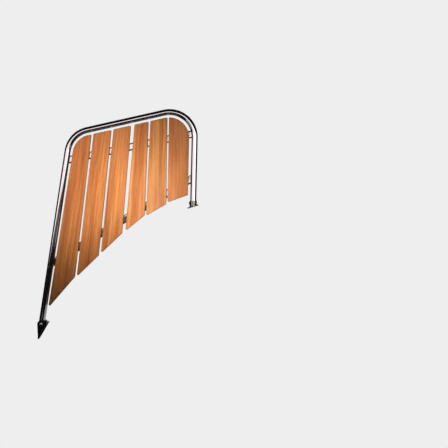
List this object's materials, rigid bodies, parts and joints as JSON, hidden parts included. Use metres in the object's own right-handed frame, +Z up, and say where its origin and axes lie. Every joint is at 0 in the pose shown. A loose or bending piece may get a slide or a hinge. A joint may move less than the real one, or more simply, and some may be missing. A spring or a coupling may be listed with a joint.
{
  "type": "grab rail",
  "caption": "Boat grab rail: bent polished tube with a fan of tapered teak slats on flat cross bars, a swivelling wedge foot and a raked socket foot.",
  "frame": {"origin": "middle of the aft foot's mounting face", "axes": "+X aft, from the long front leg to the aft leg; +Z up; +Y away from the slats' front faces, across the rail's thickness"},
  "size_m": [0.6435, 0.078, 0.9199],
  "materials": {
    "tube_and_bars": "316 stainless, mirror polished",
    "foot_castings": "cast 316 stainless, tumble polished",
    "fasteners": "A4 stainless, plain",
    "teak": "teak, planed, sanded and oiled, satin",
    "end_plug": "black nylon, moulded"
  },
  "bodies": {
    "rail": {"frame_tube": "tube_and_bars", "upper_bar": "tube_and_bars", "lower_bar": "tube_and_bars", "slat_1": "teak", "slat_2": "teak", "slat_3": "teak", "slat_4": "teak", "slat_5": "teak", "slat_6": "teak", "slat_1_screw_1": "fasteners", "slat_1_screw_2": "fasteners", "slat_1_screw_3": "fasteners", "slat_1_screw_4": "fasteners", "slat_2_screw_1": "fasteners", "slat_2_screw_2": "fasteners", "slat_2_screw_3": "fasteners", "slat_2_screw_4": "fasteners", "slat_3_screw_1": "fasteners", "slat_3_screw_2": "fasteners", "slat_3_screw_3": "fasteners", "slat_3_screw_4": "fasteners", "slat_4_screw_1": "fasteners", "slat_4_screw_2": "fasteners", "slat_4_screw_3": "fasteners", "slat_4_screw_4": "fasteners", "slat_5_screw_1": "fasteners", "slat_5_screw_2": "fasteners", "slat_5_screw_3": "fasteners", "slat_5_screw_4": "fasteners", "slat_6_screw_1": "fasteners", "slat_6_screw_2": "fasteners", "slat_6_screw_3": "fasteners", "slat_6_screw_4": "fasteners", "front_leg_end_plug": "end_plug", "aft_foot_base": "foot_castings", "aft_foot_set_screw_1": "fasteners", "aft_foot_set_screw_2": "fasteners"},
    "front_foot": {"front_foot_bracket": "foot_castings", "front_foot_bolt": "fasteners", "front_foot_bolt_washer": "fasteners", "front_foot_nut": "fasteners", "front_foot_nut_washer": "fasteners"}
  },
  "joints": [
    {"name": "front_foot_hinge", "type": "hinge", "parent": "rail", "child": "front_foot", "pos_m": [-0.606, 0, -0.468], "axis": [0, 1, 0], "range_deg": [-12, 60]}
  ]
}
